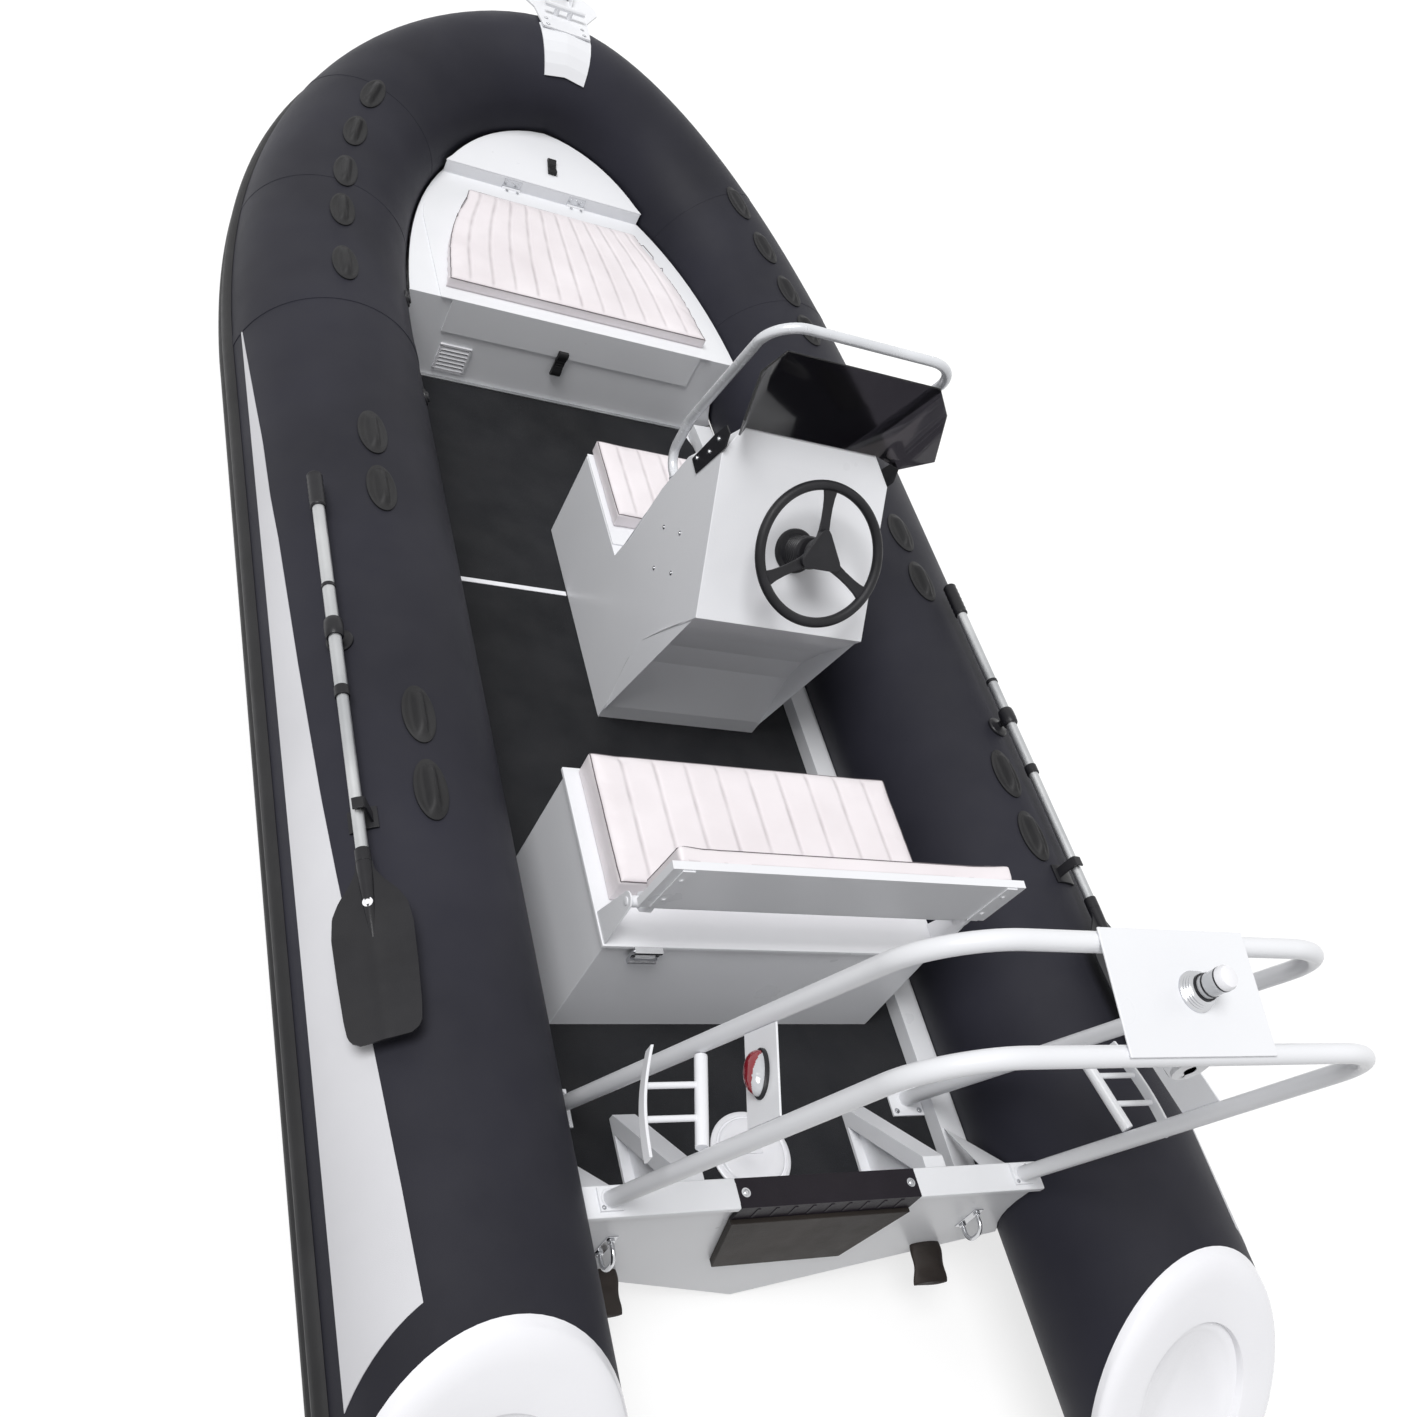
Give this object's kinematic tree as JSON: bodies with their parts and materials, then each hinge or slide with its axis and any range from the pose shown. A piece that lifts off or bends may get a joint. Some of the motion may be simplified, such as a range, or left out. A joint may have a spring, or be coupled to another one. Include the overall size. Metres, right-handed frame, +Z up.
{
  "type": "rigid inflatable boat",
  "caption": "Open rigid inflatable boat: V hull, dark air tube, helm console with wheel and screen, lidded bench seat, bow locker and stern arch.",
  "frame": {"origin": "on the sole of the keel strip, amidships, on the centre plane", "axes": "+X to starboard, +Y forward, +Z up"},
  "size_m": [2.1374, 4.8759, 1.6569],
  "materials": {
    "tube_fabric": "matte coated fabric, near black",
    "white_paint": "white gloss paint on aluminium",
    "bare_aluminium": "anodised satin",
    "stainless": "polished",
    "deck_pad": "sheet under a black textured pad",
    "white_moulding": "white gloss",
    "black_rubber": "matte",
    "black_plastic": "moulded, fine texture",
    "brown_board": "dark brown board",
    "cushion_vinyl": "pale sewn vinyl over foam",
    "smoked_screen": "dark smoked sheet",
    "lamp_lens": "moulded lens in a black rim"
  },
  "bodies": {
    "hull": {"tube_port": "tube_fabric", "tube_stbd": "tube_fabric", "tube_bow": "tube_fabric", "end_cap_port": "white_moulding", "end_cap_stbd": "white_moulding", "rubbing_strake": "black_rubber", "hull_bottom": "white_paint", "keel_strip": "bare_aluminium", "deck_aft": "deck_pad", "deck_forward": "deck_pad", "side_coaming_port": "white_paint", "side_coaming_stbd": "white_paint", "transom": "white_paint", "transom_knee_port": "white_paint", "transom_knee_stbd": "white_paint", "motor_pad": "black_plastic", "motor_board": "brown_board", "towing_eye_port": "stainless", "towing_eye_stbd": "stainless", "drain_hatch": "white_moulding", "bow_locker": "white_paint", "console_shell": "white_paint", "console_rail": "white_paint", "helm": "black_plastic", "windscreen": "smoked_screen", "screen_bracket_port": "black_plastic", "screen_bracket_stbd": "black_plastic", "seat_box": "white_paint", "oar_clip_port": "black_plastic", "oar_clip_stbd": "black_plastic", "arch_front_hoop": "white_paint", "arch_rear_hoop": "white_paint", "arch_top_plate": "white_paint", "arch_rack_port": "white_paint", "arch_rack_stbd": "white_paint", "side_lamp_port": "lamp_lens", "side_lamp_stbd": "lamp_lens", "all_round_light": "stainless", "bow_step": "white_paint"},
    "wheel": {"steering_wheel": "black_plastic"},
    "bow_lid": {"bow_locker_lid": "white_paint", "bow_cushion": "cushion_vinyl"},
    "bow_strap": {"bow_latch": "black_rubber"},
    "anchor_cover": {"anchor_lid": "white_paint"},
    "anchor_strap": {"anchor_latch": "black_rubber"},
    "console_seat": {"console_seat_lid": "white_paint", "console_cushion": "cushion_vinyl"},
    "bench_lid": {"seat_lid": "white_paint", "seat_cushion": "cushion_vinyl", "backrest_frame": "white_paint"},
    "bench_strap": {"seat_latch": "black_rubber"},
    "backrest": {"backrest_board": "white_paint", "backrest_pad": "cushion_vinyl"},
    "port_oar": {"oar_port": "bare_aluminium", "oar_blade_port": "black_plastic", "rowlock_port": "black_plastic"},
    "stbd_oar": {"oar_stbd": "bare_aluminium", "oar_blade_stbd": "black_plastic", "rowlock_stbd": "black_plastic"},
    "roller": {"bow_roller": "black_rubber"}
  },
  "joints": [
    {"name": "steering", "type": "hinge", "parent": "hull", "child": "wheel", "pos_m": [0.13, -0.33553, 1.02479], "axis": [0, -0.7477, 0.664], "range_deg": [-540, 540]},
    {"name": "bow_lid_hinge", "type": "hinge", "parent": "hull", "child": "bow_lid", "pos_m": [0, 1.79433, 0.5373], "axis": [-1, 0, 0], "range_deg": [0, 60]},
    {"name": "bow_strap_pin", "type": "hinge", "parent": "bow_lid", "child": "bow_strap", "pos_m": [-0.025, 1.09303, 0.443], "axis": [-1, 0, 0], "range_deg": [0, 90]},
    {"name": "anchor_cover_hinge", "type": "hinge", "parent": "hull", "child": "anchor_cover", "pos_m": [0, 1.80283, 0.5743], "axis": [1, 0, 0], "range_deg": [0, 50]},
    {"name": "anchor_strap_pin", "type": "hinge", "parent": "anchor_cover", "child": "anchor_strap", "pos_m": [0.02, 1.85583, 0.59516], "axis": [1, 0, 0], "range_deg": [0, 90]},
    {"name": "console_seat_hinge", "type": "hinge", "parent": "hull", "child": "console_seat", "pos_m": [0.13, 0.13553, 0.53554], "axis": [1, 0, 0], "range_deg": [0, 75]},
    {"name": "bench_lid_hinge", "type": "hinge", "parent": "hull", "child": "bench_lid", "pos_m": [0, -0.70117, 0.5743], "axis": [-1, 0, 0], "range_deg": [0, 80]},
    {"name": "bench_strap_pin", "type": "hinge", "parent": "bench_lid", "child": "bench_strap", "pos_m": [-0.329, -1.16847, 0.5843], "axis": [-1, 0, 0], "range_deg": [0, 90]},
    {"name": "backrest_pivot", "type": "hinge", "parent": "bench_lid", "child": "backrest", "pos_m": [0, -1.14417, 0.715], "axis": [-1, 0, 0], "range_deg": [0, 90]},
    {"name": "port_oar_swivel", "type": "hinge", "parent": "hull", "child": "port_oar", "pos_m": [-0.95198, -0.44417, 0.67441], "axis": [0.5299, 0, -0.848], "range_deg": [0, 90]},
    {"name": "stbd_oar_swivel", "type": "hinge", "parent": "hull", "child": "stbd_oar", "pos_m": [0.84509, -0.49917, 0.71544], "axis": [0.1736, 0, 0.9848], "range_deg": [0, 90]},
    {"name": "roller_spin", "type": "hinge", "parent": "hull", "child": "roller", "pos_m": [0, 2.41983, 0.9664], "axis": [1, 0, 0], "continuous": true}
  ]
}
